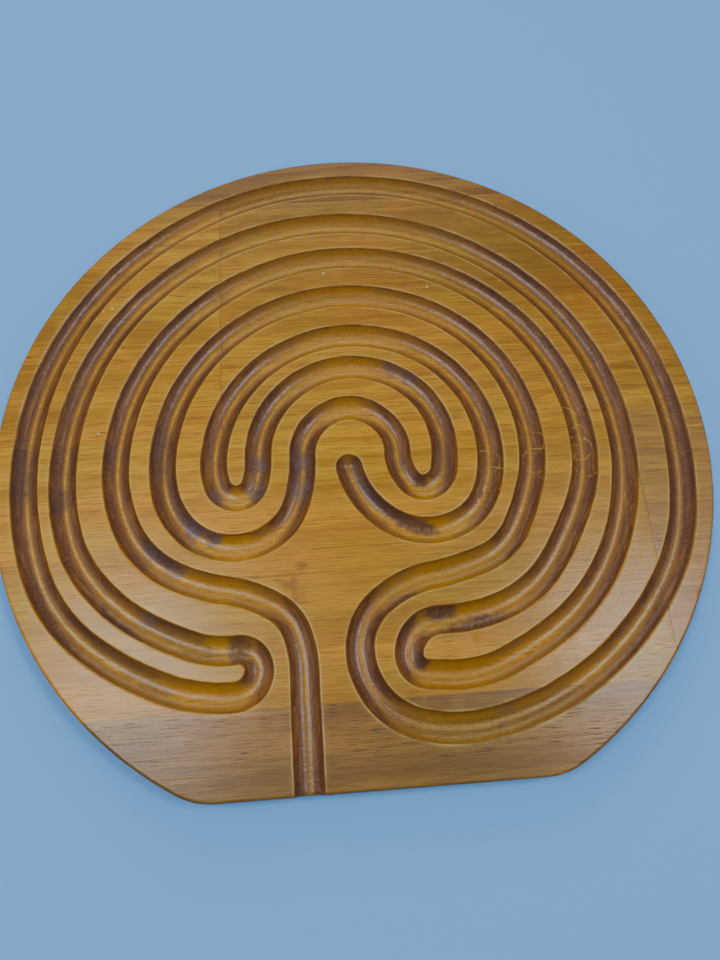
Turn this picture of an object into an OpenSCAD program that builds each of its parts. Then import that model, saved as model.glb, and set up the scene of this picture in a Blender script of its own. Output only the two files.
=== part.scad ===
// Wooden finger labyrinth: a glued-up round board with one long groove to trace with a fingertip.
// Origin on the underside, below the centre of the round edge. +X right, +Y to the back, +Z up.

/* [Labyrinth groove] */
// Distance between neighbouring circuits, centre to centre
pitch = 25.4; // [24.4:0.1:28]
// Diameter of the round-nosed cutter that leaves the groove
cutter_d = 15.9; // [14:0.1:16]
// Depth of the groove along its middle
groove_depth = 4.5; // [3:0.1:6]
// Share of the hand-guided cutter's wander that is kept
wander = 1; // [0:0.1:1]

/* [Board] */
// Thickness of the board
board_t = 19; // [14:0.5:30]
// Plain wood between the outermost groove, on its true circle, and the round edge
rim_land = 10; // [8:0.5:20]
// How far the straight front edge is cut back from the full circle
front_cut = 20.5; // [14:0.5:24]
// Radius of the corners at the ends of the straight front edge
corner_r = 38; // [20:1:50]

/* [Glued-up boards] */
// Width of the narrow stave along the back
back_stave_w = 31; // [28:0.5:34]
// Width of the row of boards behind the middle
rear_row_w = 154; // [148:0.5:158]
// Width of the row of boards in front of the middle
front_row_w = 144; // [138:0.5:148]
// Distance from the middle out to the rear row's butt joint, on the left
rear_joint_x = 73.5; // [60:0.5:90]
// Distance from the middle out to the front row's butt joint, on the right
front_joint_x = 152; // [145:0.5:158]

/* [Hidden] */
$fn = 120;

circuits = 7;
// Each circuit passes this many evenly spaced places, from its left end to its right end
places = 5;
place_turn = 180 / (places - 1);
cutter_r = cutter_d / 2;
// Height of the cutter's round nose centre above the underside
nose_z = board_t - groove_depth + cutter_r;
// Half the groove's width at the face
groove_half_w = sqrt(pow(cutter_r, 2) - pow(cutter_r - groove_depth, 2));
// Extra depth of the dimple that the cutter leaves where it changes direction
dimple = 0.1;

board_r = circuits * pitch + groove_half_w + rim_land;
front_y = -(board_r - front_cut);
back_seam_y = board_r - back_stave_w;
middle_seam_y = back_seam_y - rear_row_w;
front_seam_y = middle_seam_y - front_row_w;
// How far a cutting shape runs past the wood
past = 10;

// The groove's path is a chain of stations [x, y, heading], in millimetres and degrees.
// Two tangent arcs join each station to the next, so the groove never has a corner.
// The path is drawn for a pitch of drawn_pitch and scales with the pitch.
// Circuit 1 is the outermost and circuit 7 the innermost.
drawn_pitch = 25.4;
scale_up = pitch / drawn_pitch;
// Centre of the circuits' half circles
middle = [-2.5, -5.5];

// Wander of each circuit outside its true half circle, at its places from left to right
drift = [
    [-2, 1, 3.5, 4, 2],
    [3, 2.5, 0, -2, -3.5],
    [0.5, -0.5, 0, 0.5, 0.5],
    [1, -0.5, -1.5, -1, -3],
    [-1, -3, -3, -1.5, -1],
    [0.5, 1, 2, 1.5, -0.5],
    [2, 2, 2, 0, -1]
];

// The way in, from the straight front edge to the left end of circuit 3
way_in = [[-34, -118, 90], [-47, -86, 147], [-99, -66, 151]];
// The turns between the circuits, in the order that a finger meets them
turn_3_to_2 = [[98, -71, -127], [68, -93, -161], [18, -114, -93], [42, -125, -1], [91, -108, 31]];
turn_2_to_1 = [[-139, -68, -51], [-87, -103, -20], [-56, -115, -86], [-69, -128, 180], [-138, -101, 143]];
turn_1_to_4 = [[154, -86, -126], [86, -140, -158], [22, -147, 165],
               [-6, -112, 92], [34, -75, 8], [81, -52, 60]];
turn_4_to_7 = [[-95, -40, -52], [-52, -51, 23]];
turn_7_to_6 = [[40, -26, 31]];
turn_6_to_5 = [[-66, -27, 177]];
// The way to the groove's round end in the middle
way_home = [[53, -47, 208], [-5, -13, 100]];

function circuit_r(k, i) = (circuits + 1 - k) * drawn_pitch + wander * drift[k - 1][i];
// Angle that the wander adds to the true circle's heading at place i
function wander_angle(k, i) =
    let (a = max(i - 1, 0),
         b = min(i + 1, places - 1),
         rise = circuit_r(k, b) - circuit_r(k, a),
         run = (b - a) * place_turn * PI / 180 * circuit_r(k, i))
    atan(rise / run);
// Stations of circuit k from left to right, and from right to left
function rightward(k) = [for (i = [0:places - 1])
    let (r = circuit_r(k, i), t = 180 - place_turn * i)
    [middle.x + r * cos(t), middle.y + r * sin(t), t - 90 + wander_angle(k, i)]];
function leftward(k) = let (s = rightward(k))
    [for (i = [places - 1:-1:0]) [s[i].x, s[i].y, s[i].z + 180]];

stations = [for (s = concat(way_in, rightward(3), turn_3_to_2, leftward(2), turn_2_to_1, rightward(1),
                            turn_1_to_4, leftward(4), turn_4_to_7, rightward(7), turn_7_to_6,
                            leftward(6), turn_6_to_5, rightward(5), way_home))
    [s.x * scale_up, s.y * scale_up, s.z]];

function place(s) = [s.x, s.y];
function way(heading) = [cos(heading), sin(heading)];
// Two headings count as parallel when the gap between their unit vectors, squared, is under this
parallel = 0.0001;
// Point where the two arcs from station s to station t meet
function meeting(s, t) =
    let (a = way(s.z),
         b = way(t.z),
         d = place(t) - place(s),
         m = 2 * (1 - a * b),
         n = 2 * (d * (a + b)),
         k = m < parallel ? (d * d) / n : (sqrt(n * n + 4 * m * (d * d)) - n) / (2 * m))
    (place(s) + place(t) + k * (a - b)) / 2;
// Arc from p, leaving along heading h, to q: [centre, radius, first angle, sweep], left turns positive
function arc(p, h, q) =
    let (d = q - p,
         side = way(h + 90),
         r = (d * d) / (2 * (d * side)),
         centre = p + r * side)
    [centre, abs(r), atan2(p.y - centre.y, p.x - centre.x), 2 * atan2(d * side, d * way(h))];
function arcs_between(s, t) =
    let (m = meeting(s, t), first = arc(place(s), s.z, m))
    [first, arc(m, s.z + first[3], place(t))];
arcs = [for (i = [0:len(stations) - 2]) each arcs_between(stations[i], stations[i + 1])];
// Point on arc a, a share of the way along it
function on_arc(a, share) = a[0] + a[1] * way(a[2] + share * a[3]);
path_start = place(stations[0]);
path_end = place(stations[len(stations) - 1]);

// Points looked at along an arc, and how far outside a board's seams the groove still counts as its own
looks = 12;
reach = groove_half_w + 2;
// Whether the groove along arc a comes within the rectangle from lo to hi
function reaches(a, lo, hi) =
    let (points = [for (i = [0:looks]) on_arc(a, i / looks)],
         xs = [for (q = points) q.x],
         ys = [for (q = points) q.y])
    max(xs) + reach > lo.x && min(xs) - reach < hi.x && max(ys) + reach > lo.y && min(ys) - reach < hi.y;

// The room that the cutter sweeps out along arc a
module swept(a) {
    translate([a[0].x, a[0].y, 0])
        rotate([0, 0, min(a[2], a[2] + a[3])])
            rotate_extrude(angle = abs(a[3]))
                translate([a[1], nose_z])
                    circle(cutter_r);
}

// The room that the resting cutter takes up at point q
module dimple_at(q) {
    translate([q.x, q.y, nose_z])
        sphere(cutter_r + dimple);
}

// Cuts a dimple into the children at each listed point, one after another
module dimpled(points, i) {
    if (i < 0) children();
    else difference() {
        dimpled(points, i - 1) children();
        dimple_at(points[i]);
    }
}

// Routs each listed arc out of the children, one after another
module routed(list, i) {
    if (i < 0) children();
    else difference() {
        routed(list, i - 1) children();
        swept(list[i]);
    }
}

// The board's outline: a circle with a straight front edge and rounded corners
module outline() {
    corner_y = front_y + corner_r;
    corner_x = sqrt(pow(board_r - corner_r, 2) - pow(corner_y, 2));
    tangent_y = corner_y * board_r / (board_r - corner_r);
    intersection() {
        circle(board_r);
        translate([-board_r - past, tangent_y])
            square([2 * (board_r + past), 2 * board_r]);
    }
    translate([-corner_x, front_y])
        square([2 * corner_x, corner_r]);
    for (side = [-1, 1])
        translate([side * corner_x, corner_y])
            circle(corner_r);
}

// The grooved board between two seams and, where a row has two boards, up to their butt joint
module piece(y_front, y_back, x_left = -board_r - past, x_right = board_r + past) {
    mine = [for (a = arcs) if (reaches(a, [x_left, y_front], [x_right, y_back])) a];
    turns = [for (a = mine) on_arc(a, 0)];
    routed(mine, len(mine) - 1)
        dimpled(turns, len(turns) - 1)
            difference() {
                intersection() {
                    linear_extrude(board_t)
                        outline();
                    translate([x_left, y_front, -past])
                        cube([x_right - x_left, y_back - y_front, board_t + 2 * past]);
                }
                // The straight way in, open through the front edge
                if (y_front < path_start.y)
                    translate([path_start.x, path_start.y, nose_z])
                        rotate([90, 0, 0])
                            cylinder(r = cutter_r, h = path_start.y - front_y + past);
                if (y_front < path_end.y && path_end.y < y_back)
                    dimple_at(path_end);
            }
}

module back_stave() {
    color("#b3742a") piece(back_seam_y, board_r + past);
}

module rear_left_board() {
    color("#cf9634") piece(middle_seam_y, back_seam_y, x_right = -rear_joint_x);
}

module rear_right_board() {
    color("#bf8430") piece(middle_seam_y, back_seam_y, x_left = -rear_joint_x);
}

module centre_board() {
    color("#c8903c") piece(front_seam_y, middle_seam_y, x_right = front_joint_x);
}

module right_end_board() {
    color("#a8702c") piece(front_seam_y, middle_seam_y, x_left = front_joint_x);
}

module front_stave() {
    color("#a97a3e") piece(front_y - past, front_seam_y);
}

back_stave();
rear_left_board();
rear_right_board();
centre_board();
right_end_board();
front_stave();
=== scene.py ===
"""Wooden finger labyrinth board: six glued-up boards with one routed groove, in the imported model's frame."""

import math
import random

import bmesh
import bpy
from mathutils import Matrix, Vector, geometry, noise


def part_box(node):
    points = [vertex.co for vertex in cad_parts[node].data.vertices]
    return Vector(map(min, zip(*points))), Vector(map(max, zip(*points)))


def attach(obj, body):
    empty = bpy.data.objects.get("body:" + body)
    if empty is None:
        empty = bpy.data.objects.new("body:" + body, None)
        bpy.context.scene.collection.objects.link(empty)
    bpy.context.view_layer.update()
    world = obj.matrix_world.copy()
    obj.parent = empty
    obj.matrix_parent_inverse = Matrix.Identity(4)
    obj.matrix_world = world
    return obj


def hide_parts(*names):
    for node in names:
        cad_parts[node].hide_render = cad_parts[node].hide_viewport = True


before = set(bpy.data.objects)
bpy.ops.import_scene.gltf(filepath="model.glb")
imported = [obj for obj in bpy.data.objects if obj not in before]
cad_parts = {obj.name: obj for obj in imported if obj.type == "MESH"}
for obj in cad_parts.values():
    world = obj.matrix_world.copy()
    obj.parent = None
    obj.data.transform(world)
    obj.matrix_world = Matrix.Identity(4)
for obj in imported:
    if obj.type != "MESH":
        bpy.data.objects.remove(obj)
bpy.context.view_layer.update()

MM = 0.001

# ---------------------------------------------------------------- the board, from the frame
BOARDS = ["back_stave", "rear_left_board", "rear_right_board",
          "centre_board", "right_end_board", "front_stave"]
LOW = {name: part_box(name)[0] for name in BOARDS}
HIGH = {name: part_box(name)[1] for name in BOARDS}

TOP = HIGH["centre_board"][2]
BOARD_R = HIGH["back_stave"][1]
FRONT_Y = LOW["front_stave"][1]
BACK_SEAM_Y = LOW["back_stave"][1]
MIDDLE_SEAM_Y = LOW["rear_right_board"][1]
FRONT_SEAM_Y = LOW["centre_board"][1]
REAR_JOINT_X = LOW["rear_right_board"][0]
FRONT_JOINT_X = LOW["right_end_board"][0]
CORNER_R = 38 * MM
# Middle of the circle that each end of the straight front edge is rounded to
CORNER_Y = FRONT_Y + CORNER_R
CORNER_X = math.sqrt((BOARD_R - CORNER_R) ** 2 - CORNER_Y ** 2)

# Groove, as routed: a round nose that rides 4.5 mm deep
PITCH = 25.4
CUTTER_R = 7.95 * MM
GROOVE_DEPTH = 4.5 * MM
GROOVE_HALF_W = math.sqrt(CUTTER_R ** 2 - (CUTTER_R - GROOVE_DEPTH) ** 2)

# Softened edges
RIM_ROUND = 1.3 * MM
TOP_ARRIS = 1.5 * MM
BOTTOM_ARRIS = 0.9 * MM
# Depth of the cutter's middle below the face, which is negative because it stays above
NOSE_RISE = GROOVE_DEPTH - CUTTER_R
# Distance from the groove's middle at which the rim's rounding meets the face, and the cutter's circle
RIM_REACH = math.sqrt((CUTTER_R + RIM_ROUND) ** 2 - (RIM_ROUND - NOSE_RISE) ** 2)
RIM_TOUCH = RIM_REACH * CUTTER_R / (CUTTER_R + RIM_ROUND)

# Mesh steps
PATH_STEP = 1.3 * MM
STRIP_HALF_W = 8.6 * MM
EDGE_STEP = 1.6 * MM
LAND_STEP = 5.5 * MM
UNDERSIDE_STEP = 12 * MM
END_TURNS = 26
# How far the triangles' inner points stay from the board's edge, above and below, and from the groove's strip
LAND_MARGIN = 4.3 * MM
UNDERSIDE_MARGIN = 6 * MM
STRIP_MARGIN = 1.6 * MM
# Distance from the edge over which the finish's "inward" goes from 0 to 1
INWARD_RANGE = 6 * MM

# ---------------------------------------------------------------- the groove's path
# Stations [x, y, heading] in millimetres and degrees, as the part's own source chains them.
MIDDLE = (-2.5, -5.5)
DRIFT = [
    [-2, 1, 3.5, 4, 2],
    [3, 2.5, 0, -2, -3.5],
    [0.5, -0.5, 0, 0.5, 0.5],
    [1, -0.5, -1.5, -1, -3],
    [-1, -3, -3, -1.5, -1],
    [0.5, 1, 2, 1.5, -0.5],
    [2, 2, 2, 0, -1],
]
WAY_IN = [[-34, -118, 90], [-47, -86, 147], [-99, -66, 151]]
TURN_3_TO_2 = [[98, -71, -127], [68, -93, -161], [18, -114, -93], [42, -125, -1], [91, -108, 31]]
TURN_2_TO_1 = [[-139, -68, -51], [-87, -103, -20], [-56, -115, -86], [-69, -128, 180], [-138, -101, 143]]
TURN_1_TO_4 = [[154, -86, -126], [86, -140, -158], [22, -147, 165],
               [-6, -112, 92], [34, -75, 8], [81, -52, 60]]
TURN_4_TO_7 = [[-95, -40, -52], [-52, -51, 23]]
TURN_7_TO_6 = [[40, -26, 31]]
TURN_6_TO_5 = [[-66, -27, 177]]
WAY_HOME = [[53, -47, 208], [-5, -13, 100]]


def circuit_r(k, i):
    return (8 - k) * PITCH + DRIFT[k - 1][i]


def rightward(k):
    """Stations of circuit k, from its left end to its right end."""
    stations = []
    for i in range(5):
        a, b = max(i - 1, 0), min(i + 1, 4)
        r = circuit_r(k, i)
        rise = circuit_r(k, b) - circuit_r(k, a)
        run = (b - a) * math.pi / 4 * r
        turn = math.radians(180 - 45 * i)
        heading = 90 - 45 * i + math.degrees(math.atan(rise / run))
        stations.append([MIDDLE[0] + r * math.cos(turn), MIDDLE[1] + r * math.sin(turn), heading])
    return stations


def leftward(k):
    return [[x, y, heading + 180] for x, y, heading in reversed(rightward(k))]


def way(degrees):
    return Vector((math.cos(math.radians(degrees)), math.sin(math.radians(degrees))))


def arc(p, heading, q):
    """The arc that leaves p along heading and ends at q: (centre, signed radius, sweep in radians)."""
    d = q - p
    side = way(heading + 90)
    r = d.dot(d) / (2 * d.dot(side))
    return p + r * side, r, 2 * math.atan2(d.dot(side), d.dot(way(heading)))


def arcs_between(s, t):
    """Two tangent arcs from station s to station t, each as (start, heading, centre, radius, sweep)."""
    p, q = Vector(s[:2]), Vector(t[:2])
    a, b = way(s[2]), way(t[2])
    d = q - p
    m = 2 * (1 - a.dot(b))
    n = 2 * d.dot(a + b)
    k = d.dot(d) / n if m < 1e-4 else (math.sqrt(n * n + 4 * m * d.dot(d)) - n) / (2 * m)
    meet = (p + q + k * (a - b)) / 2
    centre, r, sweep = arc(p, s[2], meet)
    heading = s[2] + math.degrees(sweep)
    centre_b, r_b, sweep_b = arc(meet, heading, q)
    return [(p, s[2], centre, r, sweep), (meet, heading, centre_b, r_b, sweep_b)]


def groove_path():
    """Evenly spaced points along the groove's middle, as [(point, unit heading)], in metres."""
    stations = (WAY_IN + rightward(3) + TURN_3_TO_2 + leftward(2) + TURN_2_TO_1 + rightward(1)
                + TURN_1_TO_4 + leftward(4) + TURN_4_TO_7 + rightward(7) + TURN_7_TO_6
                + leftward(6) + TURN_6_TO_5 + rightward(5) + WAY_HOME)
    start = Vector(stations[0][:2]) * MM
    entry = Vector((start.x, FRONT_Y))
    steps = math.ceil((start - entry).length / PATH_STEP)
    path = [(entry.lerp(start, i / steps), Vector((0, 1))) for i in range(steps)]
    for s, t in zip(stations, stations[1:]):
        for p, heading, centre, r, sweep in arcs_between(s, t):
            steps = max(2, math.ceil(abs(r * sweep) * MM / PATH_STEP))
            for i in range(steps):
                turned = math.degrees(sweep) * i / steps
                at = centre - r * way(heading + turned + 90)
                path.append((at * MM, way(heading + turned)))
    path.append((Vector(stations[-1][:2]) * MM, way(stations[-1][2])))
    return path


# ---------------------------------------------------------------- surface heights
def smooth(low, high, value):
    t = min(max((value - low) / (high - low), 0), 1)
    return t * t * (3 - 2 * t)


def groove_drop(offset):
    """Depth of the routed surface below the face at this distance from the groove's middle."""
    x = abs(offset)
    if x <= RIM_TOUCH:
        return NOSE_RISE + math.sqrt(CUTTER_R ** 2 - x * x)
    if x < RIM_REACH:
        return RIM_ROUND - math.sqrt(RIM_ROUND ** 2 - (RIM_REACH - x) ** 2)
    return 0.0


def arris_drop(inward, radius):
    """Drop of an edge rounded to this radius, at this distance in from the side."""
    gap = radius - min(inward, radius)
    return radius - math.sqrt(radius * radius - gap * gap)


def strip_offsets():
    """Offsets across the groove: even round the cutter's nose, close together on the rims."""
    nose = [RIM_TOUCH * f for f in (0, 0.10, 0.22, 0.34, 0.46, 0.58, 0.70, 0.81, 0.91)]
    rim = [RIM_TOUCH + (RIM_REACH - RIM_TOUCH) * f for f in (0, 0.2, 0.4, 0.62, 0.82, 1)]
    half = nose + rim + [STRIP_HALF_W]
    return [-x for x in reversed(half[1:])] + half


# ---------------------------------------------------------------- outline
def outline(step):
    """Points anticlockwise round the board's edge, with the outward normal at each."""
    touch = math.atan2(CORNER_Y, CORNER_X)
    points = []

    def add_arc(centre, radius, first, last):
        count = max(2, math.ceil(radius * abs(last - first) / step))
        for i in range(count):
            t = first + (last - first) * i / count
            n = Vector((math.cos(t), math.sin(t)))
            points.append((centre + radius * n, n))

    add_arc(Vector((0, 0)), BOARD_R, touch, math.pi - touch)
    add_arc(Vector((-CORNER_X, CORNER_Y)), CORNER_R, math.pi - touch, 1.5 * math.pi)
    count = math.ceil(2 * CORNER_X / step)
    for i in range(count):
        points.append((Vector((-CORNER_X + 2 * CORNER_X * i / count, FRONT_Y)), Vector((0, -1))))
    add_arc(Vector((CORNER_X, CORNER_Y)), CORNER_R, -0.5 * math.pi, touch)
    return points


# ---------------------------------------------------------------- small irregularities of hand work
# Dents and chips: [x, y, radius, depth] in millimetres
DENTS = [
    [170.2, -94.4, 1.8, 0.6], [167.6, -99.6, 1.5, 0.4], [172.9, -89.8, 1.3, 0.3],
    [-64, -107, 4.0, 0.35], [-71, -101, 3.4, 0.3], [44, -101, 4.5, 0.4], [50, -104, 4.0, 0.3],
    [67, -31, 3.5, 0.25], [24, -140, 3.0, 0.3], [-104, 59, 2.2, 0.3], [127, 12, 2.5, 0.25],
    [98, -158, 1.8, 0.5], [12, 192, 2.4, 0.5],
]


def wobble(value, salt):
    """Smooth noise from about -1 to 1 along a length in metres."""
    slow = noise.noise(Vector((value / (11 * MM), salt, 0.5)))
    quick = noise.noise(Vector((value / (4 * MM), salt, 7.5)))
    return slow + 0.5 * quick


def dent_drop(x, y):
    drop = 0.0
    for dent_x, dent_y, radius, depth in DENTS:
        gap = math.hypot(x - dent_x * MM, y - dent_y * MM) / (radius * MM)
        if gap < 1:
            drop += depth * MM * (1 - gap * gap) ** 2
    return drop


# ---------------------------------------------------------------- the grooved board as one closed surface
# Distance from the groove's middle, in half groove widths, at which everything counts as outside it
FAR_ACROSS = 1.25


class Shell:
    """Vertices and faces of the whole board, with the numbers that the wood's finish is drawn from."""

    def __init__(self):
        self.verts, self.faces = [], []
        self.across, self.side, self.along, self.inward, self.top = [], [], [], [], []

    def vert(self, x, y, z, across=FAR_ACROSS, side=0.0, along=0.0, inward=1.0, top=0.0):
        self.verts.append((x, y, z))
        self.across.append(across)
        self.side.append(side)
        self.along.append(along)
        self.inward.append(inward)
        self.top.append(top)
        return len(self.verts) - 1


def top_vert(shell, point, offset, along, inward):
    """A vertex of the grooved face: offset is from the groove's middle, inward from the board's edge."""
    drop = groove_drop(offset) + arris_drop(inward, TOP_ARRIS) + dent_drop(point.x, point.y)
    if abs(offset) < 0.8 * GROOVE_HALF_W:
        drop += 0.07 * MM * wobble(along, 3.1)
    side = max(-FAR_ACROSS, min(offset / GROOVE_HALF_W, FAR_ACROSS))
    inward = min(inward / INWARD_RANGE, 1)
    return shell.vert(point.x, point.y, TOP - drop, abs(side), side, along, inward, 1.0)


ARRIS_STEPS = [TOP_ARRIS * f for f in (0, 0.08, 0.28, 0.6, 1.0, 1.15, 1.8)]


def strip_stations():
    """Stations of the groove's strip with its length along the way, close together at the mouth."""
    path = groove_path()
    mouth = path[0][0]
    stations = [(mouth + Vector((0, step)), Vector((0, 1)), step) for step in ARRIS_STEPS]
    length = 0.0
    for (p, _), (q, heading) in zip(path, path[1:]):
        length += (q - p).length
        if length > ARRIS_STEPS[-1] + 0.4 * PATH_STEP:
            stations.append((q, heading, length))
    return stations


def build_strip(shell, stations):
    """The groove and its rims. Returns the rows of vertices, one for each station."""
    offsets = strip_offsets()
    rows = []
    for p, heading, length in stations:
        left = Vector((-heading.y, heading.x))
        inward = length if p.y < FRONT_Y + INWARD_RANGE else 1.0
        row = []
        for offset in reversed(offsets):
            hold = smooth(STRIP_HALF_W, 0.9 * GROOVE_HALF_W, abs(offset))
            hold *= smooth(0, INWARD_RANGE, length)
            shift = 0.22 * MM * wobble(length, 11.0 if offset > 0 else 23.0) * hold
            shift *= smooth(0, GROOVE_HALF_W, abs(offset))
            row.append(top_vert(shell, p + left * (offset + shift), offset, length, inward))
        rows.append(row)
    for a, b in zip(rows, rows[1:]):
        for i in range(len(a) - 1):
            shell.faces.append((a[i + 1], b[i + 1], b[i], a[i]))
    return rows


def build_end(shell, rows, station):
    """The groove's round end: its last row swung half a turn. Returns the end's outer loop."""
    p, heading, length = station
    last = rows[-1]
    middle = len(last) // 2
    left_spoke = list(reversed(last[:middle + 1]))
    right_spoke = last[middle:]
    offsets = [o for o in strip_offsets() if o >= 0]
    spokes = [left_spoke]
    start = math.atan2(heading.x, -heading.y)
    for i in range(1, END_TURNS):
        t = start - math.pi * i / END_TURNS
        out = Vector((math.cos(t), math.sin(t)))
        spoke = [last[middle]]
        for offset in offsets[1:]:
            spoke.append(top_vert(shell, p + out * offset, offset, length, 1.0))
        spokes.append(spoke)
    spokes.append(right_spoke)
    for a, b in zip(spokes, spokes[1:]):
        shell.faces.append((a[0], a[1], b[1]))
        for i in range(1, len(a) - 1):
            shell.faces.append((a[i], a[i + 1], b[i + 1], b[i]))
    return [spoke[-1] for spoke in spokes[1:-1]]


def faces_front(normal):
    return abs(normal.y + 1) < 1e-6


def edge_rings(shell, mouth_x):
    """The face's outer edge as rings that start on the side wall, open where the groove runs out.

    Returns the rings and the side's points."""
    around = [(p, n) for p, n in outline(EDGE_STEP)
              if not (faces_front(n) and abs(p.x - mouth_x) < STRIP_HALF_W + 0.4 * EDGE_STEP)]
    first = next(i for i, (p, n) in enumerate(around) if faces_front(n) and p.x > mouth_x)
    around = around[first:] + around[:first]
    rings = []
    for step in ARRIS_STEPS:
        rings.append([top_vert(shell, p - n * step, 1, 0.0, step) for p, n in around])
    return rings, around


def join_rings(shell, rows, rings):
    """Faces between the outer rings, and between them and the strip at the groove's mouth."""
    for outer, inner in zip(rings, rings[1:]):
        for i in range(len(outer) - 1):
            shell.faces.append((outer[i], outer[i + 1], inner[i + 1], inner[i]))
    for k in range(len(ARRIS_STEPS) - 1):
        left_outer, left_inner = rows[k][0], rows[k + 1][0]
        right_outer, right_inner = rows[k][-1], rows[k + 1][-1]
        shell.faces.append((rings[k][-1], left_outer, left_inner, rings[k + 1][-1]))
        shell.faces.append((right_outer, rings[k][0], rings[k + 1][0], right_inner))


def groove_cells(shell, rows):
    """Points of the groove's middle, sorted into square cells."""
    cells = {}
    for row in rows:
        x, y, _ = shell.verts[row[len(row) // 2]]
        cells.setdefault((int(x // STRIP_HALF_W), int(y // STRIP_HALF_W)), []).append((x, y))
    return cells


def beside_groove(cells, x, y):
    """Whether a place is near the groove but clear of its strip. Wide plain land needs no points."""
    i, j = int(x // STRIP_HALF_W), int(y // STRIP_HALF_W)
    near = [q for a in (-1, 0, 1) for b in (-1, 0, 1) for q in cells.get((i + a, j + b), [])]
    if not near:
        return False
    return min(math.hypot(x - q[0], y - q[1]) for q in near) >= STRIP_HALF_W + STRIP_MARGIN


def inside_corners(x, y, margin):
    """Whether a point is inside the rounded ends of the straight front edge, by a margin."""
    if y > CORNER_Y or abs(x) < CORNER_X:
        return True
    # Past the line from the board's middle through the corner's centre, the big circle rules
    if abs(x) * -CORNER_Y > CORNER_X * -y:
        return True
    return math.hypot(abs(x) - CORNER_X, y - CORNER_Y) < CORNER_R - margin


def on_board(x, y, margin):
    """Whether a point is inside the board's outline, by a margin."""
    in_round = math.hypot(x, y) < BOARD_R - margin
    return in_round and y > FRONT_Y + margin and inside_corners(x, y, margin)


def land_places(cells):
    """Scattered places on the face beside the groove."""
    dice = random.Random(5)
    count = int(2 * BOARD_R / LAND_STEP)
    places = []
    for i in range(count):
        for j in range(count):
            x = -BOARD_R + (i + 0.5 + dice.uniform(-0.25, 0.25)) * LAND_STEP
            y = -BOARD_R + (j + 0.5 * (i % 2) + dice.uniform(-0.25, 0.25)) * LAND_STEP
            if on_board(x, y, LAND_MARGIN) and beside_groove(cells, x, y):
                places.append((x, y))
    return places


def underside_places():
    """A square grid of places on the underside."""
    count = int(2 * BOARD_R / UNDERSIDE_STEP)
    steps = [-BOARD_R + (i + 0.5) * UNDERSIDE_STEP for i in range(count)]
    return [(x, y) for x in steps for y in steps if on_board(x, y, UNDERSIDE_MARGIN)]


def fill(shell, loop, inner, upward):
    """Triangles over a closed loop of vertices, through the vertices inside it."""
    ids = loop + inner
    points = [Vector(shell.verts[v][:2]) for v in ids]
    edges = [(i, (i + 1) % len(loop)) for i in range(len(loop))]
    out, _, tris, from_vert, _, _ = geometry.delaunay_2d_cdt(points, edges, [list(range(len(loop)))], 1, 1e-7)
    assert len(out) == len(points), "the triangulation made points of its own"
    for tri in tris:
        face = [ids[from_vert[v][0]] for v in tri]
        a, b, c = (Vector(shell.verts[v][:2]) for v in face)
        if ((b - a).cross(c - a) > 0) != upward:
            face.reverse()
        shell.faces.append(tuple(face))


def build_land(shell, rows, end_loop, rings):
    """The flat face between the grooves, as triangles that meet the groove's rims and the outer rings."""
    left_rim = [row[0] for row in rows[len(ARRIS_STEPS) - 1:]]
    right_rim = [row[-1] for row in rows[len(ARRIS_STEPS) - 1:]]
    loop = left_rim + end_loop + right_rim[::-1] + rings[-1]
    places = land_places(groove_cells(shell, rows))
    inner = [shell.vert(x, y, TOP - dent_drop(x, y), top=1.0) for x, y in places]
    fill(shell, loop, inner, True)


def build_sides(shell, rows, rings, around):
    """The side wall and the underside, closing the board."""
    mouth = rows[0]
    where = [(Vector(shell.verts[v][:2]), Vector((0, -1))) for v in mouth] + around
    below = []
    for step in [BOTTOM_ARRIS * f for f in (0, 0.1, 0.4, 1.0)]:
        drop = arris_drop(step, BOTTOM_ARRIS)
        inward = min(step / INWARD_RANGE, 1)
        below.append([shell.vert(p.x - n.x * step, p.y - n.y * step, drop, inward=inward) for p, n in where])
    levels = [mouth + rings[0]]
    # The wall's own rings stay under the groove's mouth
    wall_height = TOP - TOP_ARRIS - GROOVE_DEPTH - BOTTOM_ARRIS
    for share in (0.66, 0.33):
        height = BOTTOM_ARRIS + share * wall_height
        levels.append([shell.vert(p.x, p.y, height, inward=0.0) for p, _ in where])
    levels += below
    count = len(where)
    for upper, lower in zip(levels, levels[1:]):
        for i in range(count):
            j = (i + 1) % count
            shell.faces.append((upper[i], lower[i], lower[j], upper[j]))
    fill(shell, below[-1], [shell.vert(x, y, 0.0) for x, y in underside_places()], False)


# ---------------------------------------------------------------- six boards out of the one surface
def whole_board():
    """The whole grooved board as a bmesh, with the finish's numbers in vertex layers."""
    shell = Shell()
    stations = strip_stations()
    rows = build_strip(shell, stations)
    end_loop = build_end(shell, rows, stations[-1])
    rings, around = edge_rings(shell, stations[0][0].x)
    join_rings(shell, rows, rings)
    build_land(shell, rows, end_loop, rings)
    build_sides(shell, rows, rings, around)

    bm = bmesh.new()
    for v in shell.verts:
        bm.verts.new(v)
    bm.verts.ensure_lookup_table()
    for face in shell.faces:
        bm.faces.new([bm.verts[i] for i in face])
    for name in ("across", "side", "along", "inward", "top"):
        layer = bm.verts.layers.float.new(name)
        for v, value in zip(bm.verts, getattr(shell, name)):
            v[layer] = value
    bm.normal_update()
    return bm


# Edges that turn by more than this are shaded sharp
SHARP_TURN = math.radians(42)
SEAM_HALF_W = 0.35 * MM
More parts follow.
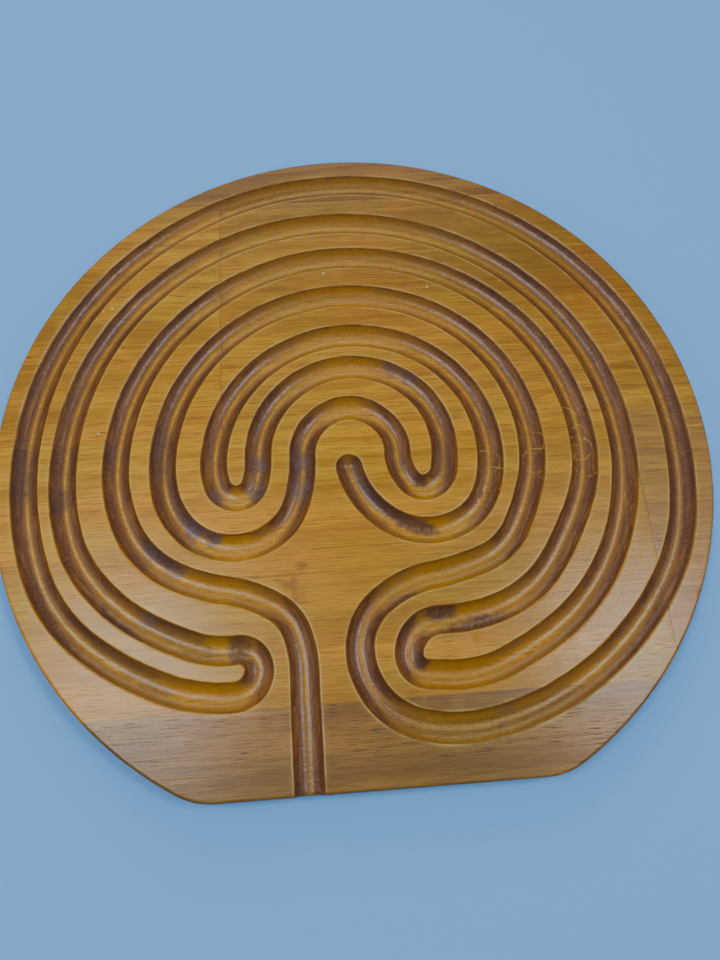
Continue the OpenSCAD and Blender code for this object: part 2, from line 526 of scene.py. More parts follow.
# Depth of the fine line that each glued seam leaves on the face
SEAM_DEPTHS = {"back": 0.02 * MM, "middle": 0.02 * MM, "front": 0.01 * MM,
               "rear_joint": 0.03 * MM, "front_joint": 0.02 * MM}
SEAMS = {
    "back": (Vector((0, BACK_SEAM_Y, 0)), Vector((0, 1, 0))),
    "middle": (Vector((0, MIDDLE_SEAM_Y, 0)), Vector((0, 1, 0))),
    "front": (Vector((0, FRONT_SEAM_Y, 0)), Vector((0, 1, 0))),
    "rear_joint": (Vector((REAR_JOINT_X, 0, 0)), Vector((1, 0, 0))),
    "front_joint": (Vector((FRONT_JOINT_X, 0, 0)), Vector((1, 0, 0))),
}
# Which side of each seam a board keeps: +1 is the side that the seam's direction points to
CUTS = {
    "back_stave": [("back", 1)],
    "rear_left_board": [("back", -1), ("middle", 1), ("rear_joint", -1)],
    "rear_right_board": [("back", -1), ("middle", 1), ("rear_joint", 1)],
    "centre_board": [("middle", -1), ("front", 1), ("front_joint", -1)],
    "right_end_board": [("middle", -1), ("front", 1), ("front_joint", 1)],
    "front_stave": [("front", -1)],
}


def cut_board(whole, name):
    """One board of the whole: cut at its seams, closed there, its face eased down into each seam's line."""
    bm = whole.copy()
    top = bm.verts.layers.float["top"]
    for seam, side in CUTS[name]:
        point, direction = SEAMS[seam]
        parts = bm.verts[:] + bm.edges[:] + bm.faces[:]
        bmesh.ops.bisect_plane(bm, geom=parts, dist=1e-7, plane_co=point, plane_no=-side * direction,
                               clear_outer=True)
        parts = bm.verts[:] + bm.edges[:] + bm.faces[:]
        bmesh.ops.bisect_plane(bm, geom=parts, dist=1e-7, plane_co=point + side * SEAM_HALF_W * direction,
                               plane_no=direction)
        rim = [e for e in bm.edges if e.is_boundary]
        for v in {v for e in rim for v in e.verts}:
            v.co.z -= SEAM_DEPTHS[seam] * smooth(0.2, 0.9, v[top])
        bmesh.ops.holes_fill(bm, edges=rim, sides=0)
    bmesh.ops.triangulate(bm, faces=[f for f in bm.faces if len(f.verts) > 4])
    bmesh.ops.recalc_face_normals(bm, faces=bm.faces[:])
    mesh = bpy.data.meshes.new(name + "_wood")
    bm.to_mesh(mesh)
    bm.free()
    mesh.polygons.foreach_set("use_smooth", [True] * len(mesh.polygons))
    mesh.set_sharp_from_angle(angle=SHARP_TURN)
    piece = bpy.data.objects.new(name + "_wood", mesh)
    bpy.context.scene.collection.objects.link(piece)
    return piece


# ---------------------------------------------------------------- node helper
class Nodes:
    """Short calls for a material's nodes. Inputs may be numbers, colours or another node's output."""

    def __init__(self, name):
        self.material = bpy.data.materials.new(name)
        self.material.use_nodes = True
        self.tree = self.material.node_tree
        self.tree.nodes.clear()
        self.object_at = self.tree.nodes.new("ShaderNodeTexCoord").outputs["Object"]

    def node(self, kind, **settings):
        made = self.tree.nodes.new(kind)
        for key, value in settings.items():
            setattr(made, key, value)
        return made

    def feed(self, socket, value):
        if isinstance(value, bpy.types.NodeSocket):
            self.tree.links.new(value, socket)
        elif isinstance(value, (tuple, list)) and socket.type == "RGBA" and len(value) == 3:
            socket.default_value = (*value, 1)
        else:
            socket.default_value = value

    def math(self, operation, a, b=0.0):
        made = self.node("ShaderNodeMath", operation=operation)
        self.feed(made.inputs[0], a)
        self.feed(made.inputs[1], b)
        return made.outputs[0]

    def plus(self, a, b):
        return self.math("ADD", a, b)

    def minus(self, a, b):
        return self.math("SUBTRACT", a, b)

    def times(self, a, b):
        return self.math("MULTIPLY", a, b)

    def larger(self, a, b):
        return self.math("MAXIMUM", a, b)

    def weighed(self, pairs):
        """Sum of each value times its weight."""
        total = self.times(*pairs[0])
        for value, weight in pairs[1:]:
            total = self.plus(total, self.times(value, weight))
        return total

    def step(self, value, low, high, to_low=0.0, to_high=1.0):
        """Smooth change from to_low at low to to_high at high."""
        made = self.node("ShaderNodeMapRange", interpolation_type="SMOOTHSTEP")
        for socket, v in zip(("Value", "From Min", "From Max", "To Min", "To Max"),
                             (value, low, high, to_low, to_high)):
            self.feed(made.inputs[socket], v)
        return made.outputs["Result"]

    def mix(self, factor, a, b, blend="MIX"):
        made = self.node("ShaderNodeMix", data_type="RGBA", blend_type=blend, clamp_factor=True)
        self.feed(made.inputs["Factor"], factor)
        self.feed(made.inputs[6], a)
        self.feed(made.inputs[7], b)
        return made.outputs[2]

    def stretched(self, scale, shift=(0, 0, 0), at=None):
        """The object's coordinates, scaled for a pattern: scale is pattern units a metre on each axis."""
        made = self.node("ShaderNodeMapping")
        self.feed(made.inputs["Vector"], at or self.object_at)
        made.inputs["Scale"].default_value = scale
        made.inputs["Location"].default_value = shift
        return made.outputs[0]

    def noise(self, at, detail=2.0, rough=0.5, distortion=0.0):
        made = self.node("ShaderNodeTexNoise")
        self.feed(made.inputs["Vector"], at)
        made.inputs["Scale"].default_value = 1.0
        made.inputs["Detail"].default_value = detail
        made.inputs["Roughness"].default_value = rough
        made.inputs["Distortion"].default_value = distortion
        return made.outputs["Fac"]

    def attribute(self, name):
        return self.node("ShaderNodeAttribute", attribute_name=name).outputs["Fac"]

    def parts(self, vector):
        made = self.node("ShaderNodeSeparateXYZ")
        self.feed(made.inputs[0], vector)
        return made.outputs

    def reach(self, x, y, radius, stretch=1.0, turn=0.0):
        """Distance from a place in millimetres, over the radius. stretch lengthens it along its turned X."""
        made = self.node("ShaderNodeMapping", vector_type="TEXTURE")
        self.feed(made.inputs["Vector"], self.object_at)
        made.inputs["Location"].default_value = (x * MM, y * MM, 0)
        made.inputs["Rotation"].default_value = (0, 0, math.radians(turn))
        made.inputs["Scale"].default_value = (radius * stretch * MM, radius * MM, 1e4)
        length = self.node("ShaderNodeVectorMath", operation="LENGTH")
        self.feed(length.inputs[0], made.outputs[0])
        return length.outputs["Value"]

    def spot(self, x, y, radius, stretch=1.0, turn=0.0, ragged=0.0):
        """1 at a place on the board, fading to 0 at the radius. ragged moves the edge in and out."""
        distance = self.plus(self.reach(x, y, radius, stretch, turn), ragged)
        return self.step(distance, 0.35, 1.0, 1.0, 0.0)

    def ring(self, x, y, radius, width):
        """1 on a thin circle."""
        off = self.math("ABSOLUTE", self.minus(self.reach(x, y, radius), 1.0))
        return self.step(off, width / radius, 0.3 * width / radius)


# ---------------------------------------------------------------- varnished wood
# Each board's look:
# pale, deep: linear colours of the face's two tones.
# ring: [y, z, spacing] of the growth rings' centre and their spacing, in mm.
# tilt: the centre's drift in y for each mm of x.
# figure, dashes, rust: strength of the ring figure, the short dark vessel lines and the rust-brown streaks.
# tone_and_light_slope: [share, per mm of x, per mm of y] of the pale tone at the board's middle, and its
# change from there; that change is painted light, lighter or darker across the board as the light falls off.
LOOKS = {
    "back_stave": dict(
        pale=(0.355, 0.175, 0.020), deep=(0.225, 0.105, 0.013), ring=(150, -34, 5.0), tilt=0.05,
        figure=0.6, dashes=0.3, rust=0.3, tone_and_light_slope=(0.5, 0.0, 0.0), seed=3.1),
    "rear_left_board": dict(
        pale=(0.61, 0.325, 0.009), deep=(0.33, 0.168, 0.006), ring=(60, -160, 4.2), tilt=-0.03,
        figure=0.3, dashes=0.9, rust=0.5, tone_and_light_slope=(0.5, 0.004, -0.003), seed=11.7),
    "rear_right_board": dict(
        pale=(0.54, 0.29, 0.012), deep=(0.275, 0.138, 0.009), ring=(95, -120, 5.2), tilt=0.04,
        figure=0.35, dashes=0.4, rust=0.3, tone_and_light_slope=(0.45, -0.0028, -0.0065), seed=23.3),
    "centre_board": dict(
        pale=(0.62, 0.335, 0.006), deep=(0.36, 0.187, 0.004), ring=(-78, -140, 6.0), tilt=0.015,
        figure=0.35, dashes=0.5, rust=0.4, tone_and_light_slope=(0.55, -0.0022, 0.0030), seed=37.9),
    "right_end_board": dict(
        pale=(0.46, 0.245, 0.034), deep=(0.29, 0.146, 0.024), ring=(-40, -60, 4.4), tilt=-0.06,
        figure=0.4, dashes=0.6, rust=0.2, tone_and_light_slope=(0.5, 0.0, 0.0), seed=41.2),
    "front_stave": dict(
        pale=(0.38, 0.222, 0.040), deep=(0.20, 0.113, 0.020), ring=(-150, -90, 4.6), tilt=0.02,
        figure=0.5, dashes=1.0, rust=0.2, tone_and_light_slope=(0.5, 0.0, 0.004), seed=59.6),
}
# A board's own colours in deeper grain and in its vessel lines, as shares of its deep tone
DEEPER_SHARES = (0.66, 0.50, 0.45)
VESSEL_SHARES = (0.36, 0.28, 0.4)
# Weights of the broad bands, the streaks and the clouds in how pale the face is
BAND_WEIGHT, STREAK_WEIGHT, CLOUD_WEIGHT = 2.2, 2.0, 1.2
END_GRAIN = (0.100, 0.034, 0.018)
# Warm stained end grain, and also the colour of the painted shadow high on the groove's far wall
WARM_END_GRAIN_AND_SHADOW = (0.215, 0.090, 0.016)
END_GRAIN_DEEP = (0.066, 0.023, 0.018)
HALF_CUT = (0.235, 0.108, 0.018)
GROOVE_LINE = (0.50, 0.285, 0.045)
# Painted shade on the groove walls that face the front or the back
WALL_SHADE_COLOUR = (0.310, 0.152, 0.004)
RUST = (0.290, 0.105, 0.010)
# Tints that drift across the face
OLIVE = (0.80, 0.92, 0.70)
ORANGE = (1.00, 0.74, 0.80)
RIM_SHADOW = (0.095, 0.036, 0.010)
BARE_RIM = (0.58, 0.40, 0.10)
DIRT = (0.115, 0.100, 0.120)
SMEAR = (0.075, 0.034, 0.022)
BLOTCH = (0.24, 0.085, 0.012)
SPECK = (0.75, 0.68, 0.55)
SEAM_DARK = (0.080, 0.034, 0.012)

# Grime in the groove: [x, y, radius, strength] in millimetres
GRIME = [
    [-88, -42, 8, 1.0], [-79, -47, 7, 0.95], [-108, -53, 9, 0.5], [-98, -62, 8, 0.5],
    [-111, -87, 8, 0.45], [-54, -8, 7, 0.7], [-55, -23, 8, 0.75], [-32, -7, 8, 0.6],
    [-31, -24, 9, 0.6], [24, 47, 7, 0.6], [33, 40, 7, 0.65], [35, -16, 5, 0.8],
    [62, -139, 9, 0.35], [30, -60, 6, 0.3], [-72, 60, 5, 0.5], [-78, -26, 8, 0.5],
]
# Dark stained stretches of the groove: [x, y, radius, stretch, turn, strength], the turn in degrees
SMEARS = [
    [51, -105, 8.0, 3.2, 12, 1.0], [36, -93, 5.5, 1.8, 0, 1.0], [12, -98, 8.0, 2.3, 46, 1.0],
    [14, -35, 5.4, 3.8, -47, 1.0], [29, -48, 4.4, 2.5, -20, 0.95], [46, -10, 6.8, 2.0, 90, 0.5],
    [33, -22, 4.2, 1.0, 0, 1.0], [24, -118, 4.4, 1.0, 0, 1.0], [-3, -10, 3.8, 1.3, 0, 0.6],
    [-106, -54, 4.6, 3.4, -41, 0.95], [-66, -104, 6.5, 1.8, 90, 0.85], [-182, -8, 6.8, 3.2, 90, 0.75],
    [-161, -21, 6.8, 1.3, 90, 0.75], [-106, 2, 6.8, 2.8, 88, 0.65], [-96, -27, 5.0, 3.6, -72, 0.7],
    [-98, -90, 3.4, 5.5, -24, 0.9], [-122, -95, 4.0, 6.0, -40, 0.85], [-93, -99, 5.2, 5.0, -32, 0.55],
    [-122, -107, 5.5, 6.0, -40, 0.55], [-20, -76, 4.0, 3.4, -52, 0.8], [-14, -90, 5.0, 2.5, -66, 0.6],
]
# Pale specks and dark blotches on the face: [x, y, radius] in millimetres
SPECKS = [[-136, 94, 0.8], [-141, 92, 0.6], [-90, 95, 0.8], [-12, 111, 0.7], [49, 98, 0.8], [-140, 15, 0.7]]
BLOTCHES = [[-107, 59, 2.4], [-41, -73, 7.0], [-37, -80, 6.0], [-33, -66, 4.0]]
# Pale half rings that the cutter scored across the groove: [x, y, radius]
SCORES = [
    [121, 0, 7.4], [123, -9, 7.0], [126, -18, 7.6], [119, 9, 6.8], [97, -4, 6.6], [98, -15, 7.2],
    [71, -14, 6.8], [73, -24, 7.0], [69, -33, 6.4], [150, -40, 7.0],
]
# Brown bands that drift along the grain: [x, y, radius, stretch, turn, strength]
BANDS = [
    [5, -135, 7, 8, 1, 0.55], [18, -92, 6, 6, 2, 0.35], [40, -163, 7, 9, 2, 0.40],
    [-120, -150, 6, 7, 2, 0.45], [-168, 28, 5, 6, -2, 0.50], [-172, -18, 6, 6, 1, 0.40],
    [-75, -132, 4, 11, 3, 0.40], [150, 92, 8, 6, -3, 0.35],
    [155, -66, 3.0, 3.4, 90, 0.55], [155, -120, 3.0, 3.0, 90, 0.50],
]
# How far outside a board a mark may be listed and still reach it, in millimetres
MARK_MARGIN = 22
# How dark each glued seam shows on the face
SEAM_SHOWS = {"back": 0.30, "middle": 0.22, "front": 0.18, "rear_joint": 0.62, "front_joint": 0.6}


def near_marks(marks, box):
    """The marks that lie on or near a board."""
    low, high = box
    return [mark for mark in marks
            if all(low[i] / MM - MARK_MARGIN < mark[i] < high[i] / MM + MARK_MARGIN for i in (0, 1))]


def shares_of(colour, shares):
    return tuple(c * share for c, share in zip(colour, shares))


class Wood(Nodes):
    """The varnished wood of one board. Its grain runs along X."""

    def __init__(self, name):
        super().__init__(name + "_varnish")
        self.name = name
        self.look = LOOKS[name]
        self.seed = self.look["seed"]
        self.box = LOW[name], HIGH[name]
        self.x, self.y, self.z = self.parts(self.object_at)
        self.facing = self.parts(self.node("ShaderNodeNewGeometry").outputs["Normal"])
        self.across, self.along = self.attribute("across"), self.attribute("along")
        self.side, self.inward = self.attribute("side"), self.attribute("inward")
        self.top = self.attribute("top")
        self.in_groove = self.step(self.across, 1.02, 0.90)
        self.deeper = shares_of(self.look["deep"], DEEPER_SHARES)
        self.make_patterns()

    def make_patterns(self):
        """The noises that several layers share, from broad to fine, and two that follow the groove."""
        s = self.seed
        self.bands = self.noise(self.stretched((5, 60, 60), (0, s, 0)), 3.0, 0.55)
        self.streaks = self.noise(self.stretched((14, 380, 380), (s, s, 0)), 3.0, 0.65)
        self.hairs = self.noise(self.stretched((34, 1050, 1050), (0, 0, s)), 2.0, 0.6)
        self.fibres = self.noise(self.stretched((70, 1900, 1900), (0, s, 8)), 2.0, 0.75)
        self.cloud = self.noise(self.stretched((10, 16, 16), (s, 1, 0)), 2.0, 0.5)
        self.patchy = self.noise(self.stretched((120, 220, 220), (s, 0, 2)), 4.0, 0.65)
        self.speckle = self.noise(self.stretched((520, 620, 620), (s, 3, 1)), 3.0, 0.75)
        self.pores = self.noise(self.stretched((900, 1300, 1300), (0, s, 5)), 2.0, 0.7)
        self.tooling = self.noise(self.groove_place(5.0, 55.0), 4.0, 0.62)
        self.chatter = self.noise(self.groove_place(2.2, 620.0), 3.0, 0.7)

    def groove_place(self, per_side, per_metre):
        """Coordinates for a pattern that follows the groove: across it, and along it."""
        made = self.node("ShaderNodeCombineXYZ")
        self.feed(made.inputs[0], self.times(self.side, per_side))
        self.feed(made.inputs[1], self.times(self.along, per_metre))
        made.inputs[2].default_value = self.seed
        return made.outputs[0]

    def rings(self):
        """Late wood of the growth rings: distance from a line nearly along X, bent a little."""
        s = self.seed
        bend = self.noise(self.stretched((7, 26, 26), (s, 0, 0)), 2.0, 0.55)
        ripple = self.noise(self.stretched((22, 150, 150), (s, 4, 0)), 2.0, 0.6)
        ring_y, ring_z, spacing = self.look["ring"]
        aside = self.minus(self.minus(self.y, ring_y * MM), self.times(self.x, self.look["tilt"]))
        aside = self.plus(aside, self.times(self.minus(bend, 0.5), 34 * MM))
        aside = self.plus(aside, self.times(self.minus(ripple, 0.5), 2.2 * MM))
        up = self.minus(self.z, ring_z * MM)
        squares = self.plus(self.times(aside, aside), self.times(up, up))
        phase = self.math("FRACT", self.math("DIVIDE", self.math("SQRT", squares), spacing * MM))
        return self.times(self.step(phase, 0.35, 0.93), self.step(phase, 0.94, 1.0, 1.0, 0.0))

    def tone(self):
        """How pale the face is, with painted light sloping across it: the face lighter or darker from one side
        of the board to the other.
        """
        share, *light_slopes = self.look["tone_and_light_slope"]
        tone = self.weighed([
            (self.bands, BAND_WEIGHT), (self.streaks, STREAK_WEIGHT), (self.cloud, CLOUD_WEIGHT)])
        tone = self.minus(tone, (BAND_WEIGHT + STREAK_WEIGHT + CLOUD_WEIGHT) / 2 - share)
        # Painted light: the tone slopes lighter or darker across the board as the light falls off
        for place, low, high, slope in zip((self.x, self.y), *self.box, light_slopes):
            tone = self.plus(tone, self.times(self.minus(place, (low + high) / 2), slope / MM))
        return tone

    def face(self):
        """Colour of the flat face."""
        look = self.look
        colour = self.mix(self.step(self.tone(), -0.1, 1.1), look["deep"], look["pale"])
        colour = self.mix(self.times(self.rings(), look["figure"]), colour, self.deeper)
        hue = self.mix(self.step(self.cloud, 0.38, 0.62), OLIVE, ORANGE)
        colour = self.mix(self.step(self.bands, 0.40, 0.60, 0.15, 0.60), colour, hue, "MULTIPLY")
        colour = self.mix(self.step(self.hairs, 0.50, 0.68, 0.0, 0.50), colour, self.deeper)
        colour = self.mix(self.step(self.fibres, 0.46, 0.66, 0.0, 0.42), colour, self.deeper)
        colour = self.mix(self.step(self.fibres, 0.46, 0.30, 0.0, 0.30), colour, look["pale"])
        rust = self.times(self.step(self.streaks, 0.54, 0.70), self.step(self.cloud, 0.42, 0.62))
        return self.mix(self.times(rust, look["rust"]), colour, RUST)

    def grain_marks(self, colour):
        """Fine checks, brown bands with ragged edges, and short dark vessel lines."""
        checks = self.noise(self.stretched((8, 620, 620), (4, self.seed, 0)), 1.0, 0.4)
        colour = self.mix(self.step(checks, 0.66, 0.72, 0.0, 0.55), colour, self.deeper)
        ragged = self.times(self.minus(self.hairs, 0.5), 3.0)
        for x, y, r, stretch, turn, strength in near_marks(BANDS, self.box):
            band = self.times(self.spot(x, y, r, stretch, turn, ragged), strength)
            colour = self.mix(band, colour, self.deeper)
        dashes = self.noise(self.stretched((95, 1900, 1900), (self.seed, 0, 9)), 0.0, 0.5)
        shown = self.times(self.step(self.bands, 0.40, 0.58), self.look["dashes"])
        self.dash = self.times(self.step(dashes, 0.68, 0.75), shown)
        return self.mix(self.dash, colour, shares_of(self.look["deep"], VESSEL_SHARES))

    def painted_wall_shade(self, colour):
        """Painted shade on the groove walls that face the front or the back, and a warm painted shadow high on
        the far one.
        """
        # Painted shade: walls that face the front are darkened most, walls that face the back less
        far_wall = self.step(self.facing[1], -0.10, -0.50, 0.0, 0.90)
        near_wall = self.step(self.facing[1], 0.20, 0.65, 0.0, 0.50)
        painted_wall_shade = self.times(self.plus(far_wall, near_wall), self.step(self.tooling, 0.25, 0.6, 1.0, 0.7))
        colour = self.mix(self.times(painted_wall_shade, self.in_groove), colour, WALL_SHADE_COLOUR)
        # Painted shadow high on the far wall, just under its rim
        high_up = self.step(self.across, 0.60, 0.95, 0.0, 0.2)
        shaded = self.times(self.step(self.facing[1], -0.25, -0.6), high_up)
        return self.mix(self.times(shaded, self.in_groove), colour, WARM_END_GRAIN_AND_SHADOW)

    def cross_grain(self):
        """How far a surface faces along the grain, counted less where the groove itself runs along it."""
        cross = self.math("ABSOLUTE", self.facing[0])
        slope = self.math("SQRT", self.minus(1.0001, self.math("POWER", self.facing[2], 2.0)))
        heading = self.math("DIVIDE", cross, self.larger(slope, 0.03))
        return self.times(cross, self.step(heading, 0.45, 0.95, 0.42, 1.0))

    def stain(self):
        """Colour of stained end grain, with warmer and deeper patches and grit."""
        dark = self.mix(self.step(self.tooling, 0.46, 0.62), END_GRAIN, WARM_END_GRAIN_AND_SHADOW)
        dark = self.mix(self.step(self.cloud, 0.52, 0.40, 0.0, 0.8), dark, END_GRAIN_DEEP)
        ridges = self.step(self.chatter, 0.52, 0.66, 0.0, 0.6)
        grit = self.larger(self.step(self.pores, 0.46, 0.62, 0.0, 0.5), ridges)
        return self.mix(grit, dark, WARM_END_GRAIN_AND_SHADOW)

    def walls(self, colour):
        """Groove walls and the board's side: stain soaks in where they cut across the grain."""
        cross = self.cross_grain()
        line = self.times(self.step(cross, 0.05, 0.0, 0.0, 0.45), self.step(self.across, 0.34, 0.04))
        colour = self.mix(line, colour, GROOVE_LINE)
        mottle = self.step(self.speckle, 0.46, 0.66, 0.0, 0.45)
        colour = self.mix(self.times(mottle, self.in_groove), colour, self.deeper)
        drift = self.weighed([(self.minus(self.tooling, 0.5), 0.30), (self.minus(self.patchy, 0.5), 0.12)])
        half = self.step(self.plus(cross, self.times(drift, 0.25)), 0.035, 0.115, 0.0, 0.85)
        full = self.step(self.plus(cross, drift), 0.10, 0.30, 0.0, 0.96)
        cover = self.larger(self.in_groove, self.step(self.top, 0.9, 0.5, 0.0, 0.75))
        colour = self.mix(self.times(half, cover), colour, HALF_CUT)
        return self.mix(self.times(full, cover), colour, self.stain())

    def rims(self, colour):
        """A painted shadow line inside each rim, a thin rubbed line outside it, and a painted shade line along
        the board's outer top edge.
        """
        rub = self.noise(self.stretched((42, 42, 42), (self.seed, 8, 0)), 3.0, 0.6)
        shade = self.times(self.step(self.across, 0.86, 0.97), self.step(self.across, 1.04, 0.99))
        shade = self.times(shade, self.step(self.patchy, 0.35, 0.62, 0.35, 0.85))
        shade = self.times(shade, self.step(self.facing[1], 0.35, -0.25, 0.35, 1.0))
        colour = self.mix(shade, colour, RIM_SHADOW)
        bare = self.times(self.step(self.across, 1.02, 1.06), self.step(self.across, 1.12, 1.07))
        self.bare = self.times(bare, self.step(rub, 0.38, 0.62, 0.05, 0.62))
        halo = self.times(self.step(self.across, 1.02, 1.08), self.step(self.across, 1.24, 1.08))
        halo = self.times(halo, self.step(rub, 0.40, 0.62, 0.10, 0.42))
        colour = self.mix(self.larger(self.bare, halo), colour, BARE_RIM)
        # Painted shade line along the board's rounded top edge, all the way round
        edge = self.times(self.step(self.inward, 0.30, 0.05, 0.0, 0.45), self.top)
        return self.mix(edge, colour, self.deeper)

    def seams(self, colour):
        """A fine dark line along each glued seam, and stain that soaked out of it in the groove."""
        for seam, _ in CUTS[self.name]:
            point, direction = SEAMS[seam]
            place, at = (self.x, point.x) if direction.x else (self.y, point.y)
            gap = self.math("ABSOLUTE", self.minus(place, at))
            line = self.step(gap, 0.45 * MM, 0.12 * MM, 0.0, SEAM_SHOWS[seam])
            line = self.times(line, self.step(self.patchy, 0.38, 0.56, 0.35, 1.0))
            colour = self.mix(self.times(line, self.top), colour, SEAM_DARK)
            spread = self.plus(gap, self.times(self.patchy, 4 * MM))
            soaked = self.times(self.step(spread, 7 * MM, 3 * MM, 0.0, 0.55), SEAM_SHOWS[seam])
            colour = self.mix(self.times(soaked, self.in_groove), colour, WARM_END_GRAIN_AND_SHADOW)
        return colour

    def smears(self, colour):
        """Dark stained stretches of the groove, with ragged edges."""
        ragged = self.times(self.minus(self.patchy, 0.68), 1.2)
        smear = 0.0
        for x, y, r, stretch, turn, strength in near_marks(SMEARS, self.box):
            smear = self.larger(smear, self.times(self.spot(x, y, r, stretch, turn, ragged), strength))
        smear = self.times(smear, self.step(self.chatter, 0.38, 0.58, 1.0, 0.75))
        return self.mix(self.times(smear, self.in_groove), colour, SMEAR)

    def dirt(self, colour):
        """Speckled grey grime on soiled patches of the groove."""
        grime = self.step(self.patchy, 0.58, 0.74, 0.0, 0.25)
        for x, y, r, strength in near_marks(GRIME, self.box):
            grime = self.larger(grime, self.times(self.spot(x, y, r), strength))
        soiled = self.times(grime, self.step(self.patchy, 0.35, 0.5, 0.2, 0.75))
        colour = self.mix(self.times(soiled, self.in_groove), colour, SMEAR)
        grime = self.times(grime, self.step(self.speckle, 0.42, 0.56, 0.0, 0.85))
        self.grime = self.times(grime, self.in_groove)
        return self.mix(self.grime, colour, DIRT)

    def flecks(self, colour):
        """Pale specks on the face, and dark blotches."""
        on_face = self.step(self.across, 0.95, 1.05, 0.0, 0.7)
        for x, y, r in near_marks(SPECKS, self.box):
            colour = self.mix(self.times(self.spot(x, y, r, 1.4), on_face), colour, SPECK)
        patches = self.step(self.patchy, 0.40, 0.54, 0.10, 0.70)
        for x, y, r in near_marks(BLOTCHES, self.box):
            colour = self.mix(self.times(self.spot(x, y, r, 1.2), patches), colour, BLOTCH)
        return colour

    def scores(self, colour):
        """Pale half rings that the cutter scored across the groove."""
        patches = self.step(self.patchy, 0.44, 0.60, 0.0, 0.65)
        for x, y, r in near_marks(SCORES, self.box):
            ring = self.times(self.times(self.ring(x, y, r, 0.5), self.in_groove), patches)
            colour = self.mix(ring, colour, GROOVE_LINE)
        return colour

    def relief(self):
        """Raised fibres, open vessels, fine scratches, and lumpy varnish in the groove."""
        scratch = self.noise(self.stretched((900, 35, 35), (self.seed, 6, 0)), 1.0, 0.5, 0.4)
        self.scratch = self.step(scratch, 0.68, 0.74, 0.0, 0.5)
        lumps = self.noise(self.stretched((300, 360, 360), (self.seed, 2, 7)), 3.0, 0.6)
        uneven = self.weighed([
            (lumps, 0.07), (self.tooling, 0.06), (self.speckle, 0.13), (self.chatter, 0.03)])
        return self.weighed([
            (self.in_groove, uneven), (self.streaks, 0.075), (self.hairs, 0.05), (self.fibres, 0.035),
            (self.speckle, 0.035), (self.dash, -0.05), (self.scratch, -0.02)])

    def roughness(self):
        """Patchy varnish, duller where it is rubbed bare, scratched or grimy."""
        rough = self.plus(self.step(self.in_groove, 0, 1, 0.31, 0.30), self.times(self.patchy, 0.14))
        rough = self.plus(rough, self.times(self.bare, 0.18))
        return self.plus(rough, self.times(self.larger(self.scratch, self.grime), 0.15))

    def bump(self, height, strength):
        made = self.node("ShaderNodeBump")
        made.inputs["Strength"].default_value = strength
        made.inputs["Distance"].default_value = 1.0 * MM
        self.feed(made.inputs["Height"], height)
        return made.outputs[0]

    def finish(self):
        """The whole material: the colour's layers from the bare face up, and the varnish."""
        colour = self.face()
        for layer in (self.grain_marks, self.painted_wall_shade, self.walls, self.rims, self.seams,
                      self.smears, self.dirt, self.flecks, self.scores):
            colour = layer(colour)
        height = self.relief()
        shader = self.node("ShaderNodeBsdfPrincipled")
        self.feed(shader.inputs["Base Color"], colour)
        self.feed(shader.inputs["Roughness"], self.roughness())
        varnish = (("IOR", 1.36), ("Coat Weight", 0.28), ("Coat Roughness", 0.18), ("Coat IOR", 1.5))
        for socket, value in varnish:
            shader.inputs[socket].default_value = value
        self.feed(shader.inputs["Normal"], self.bump(height, 1.0))
        self.feed(shader.inputs["Coat Normal"], self.bump(height, 0.6))
        out = self.node("ShaderNodeOutputMaterial")
        self.feed(out.inputs["Surface"], shader.outputs[0])
        return self.material


# ---------------------------------------------------------------- the scene round the board
# The table top lies this far under the board, so that the two faces don't coincide
GAP = 0.05 * MM
FLOOR_HALF_W = 3.0


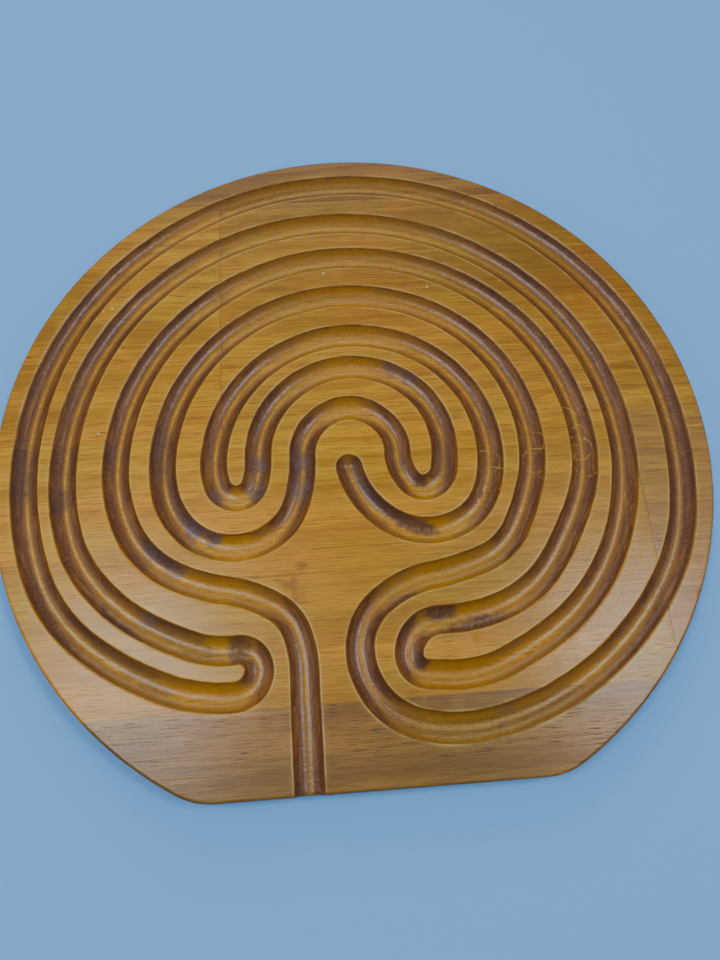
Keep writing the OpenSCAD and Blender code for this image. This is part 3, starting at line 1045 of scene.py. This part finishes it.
def make_floor():
    """A plain pale blue table top under the board."""
    mesh = bpy.data.meshes.new("floor")
    corners = [(x * FLOOR_HALF_W, y * FLOOR_HALF_W, -GAP) for x, y in ((-1, -1), (1, -1), (1, 1), (-1, 1))]
    mesh.from_pydata(corners, [], [(0, 1, 2, 3)])
    floor = bpy.data.objects.new("floor", mesh)
    bpy.context.scene.collection.objects.link(floor)
    n = Nodes("pale_floor")
    shader = n.node("ShaderNodeBsdfPrincipled")
    shader.inputs["Base Color"].default_value = (0.165, 0.475, 1.0, 1)
    shader.inputs["Roughness"].default_value = 0.7
    shader.inputs["IOR"].default_value = 1.25
    out = n.node("ShaderNodeOutputMaterial")
    n.feed(out.inputs["Surface"], shader.outputs[0])
    mesh.materials.append(n.material)


def area_light(name, at, size, power, colour):
    light = bpy.data.lights.new(name, "AREA")
    light.shape = "RECTANGLE"
    light.size, light.size_y = size
    light.energy = power
    light.color = colour
    lamp = bpy.data.objects.new(name, light)
    lamp.location = at
    lamp.rotation_euler = (-Vector(at)).to_track_quat("-Z", "Y").to_euler()
    bpy.context.scene.collection.objects.link(lamp)


def make_light():
    world = bpy.data.worlds.new("studio")
    bpy.context.scene.world = world
    world.use_nodes = True
    sky = world.node_tree.nodes["Background"]
    sky.inputs["Color"].default_value = (0.88, 0.92, 1.0, 1)
    sky.inputs["Strength"].default_value = 0.25
    area_light("left_lamp", (-0.58, 0.0, 1.6), (0.50, 0.42), 10.5, (1.0, 0.97, 0.98))
    area_light("right_lamp", (0.78, 0.0, 1.6), (0.42, 0.38), 9.5, (1.0, 0.97, 0.98))
    area_light("back_panel", (-0.2, 2.7, 1.75), (2.4, 1.2), 24, (1.0, 0.99, 0.97))
    area_light("left_panel", (-2.3, 0.1, 1.6), (1.6, 1.4), 7, (1.0, 0.99, 0.97))
    area_light("right_panel", (2.5, 0.1, 1.6), (1.4, 1.2), 4, (1.0, 0.99, 0.97))


def make_camera():
    """Hand-held view from just in front of the board and nearly overhead."""
    lens = bpy.data.cameras.new("camera")
    lens.sensor_width = 36
    lens.lens = 26
    camera = bpy.data.objects.new("camera", lens)
    camera.location = (-0.0806 * BOARD_R, -0.7345 * BOARD_R, TOP + 1.8015 * BOARD_R)
    camera.rotation_euler = [math.radians(turn) for turn in (19.284, -1.157, -4.186)]
    bpy.context.scene.collection.objects.link(camera)
    bpy.context.scene.camera = camera


def make_boards():
    whole = whole_board()
    for name in BOARDS:
        piece = cut_board(whole, name)
        piece.data.materials.append(Wood(name).finish())
        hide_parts(name)
        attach(piece, "root")
    whole.free()


make_boards()
make_floor()
make_light()
make_camera()
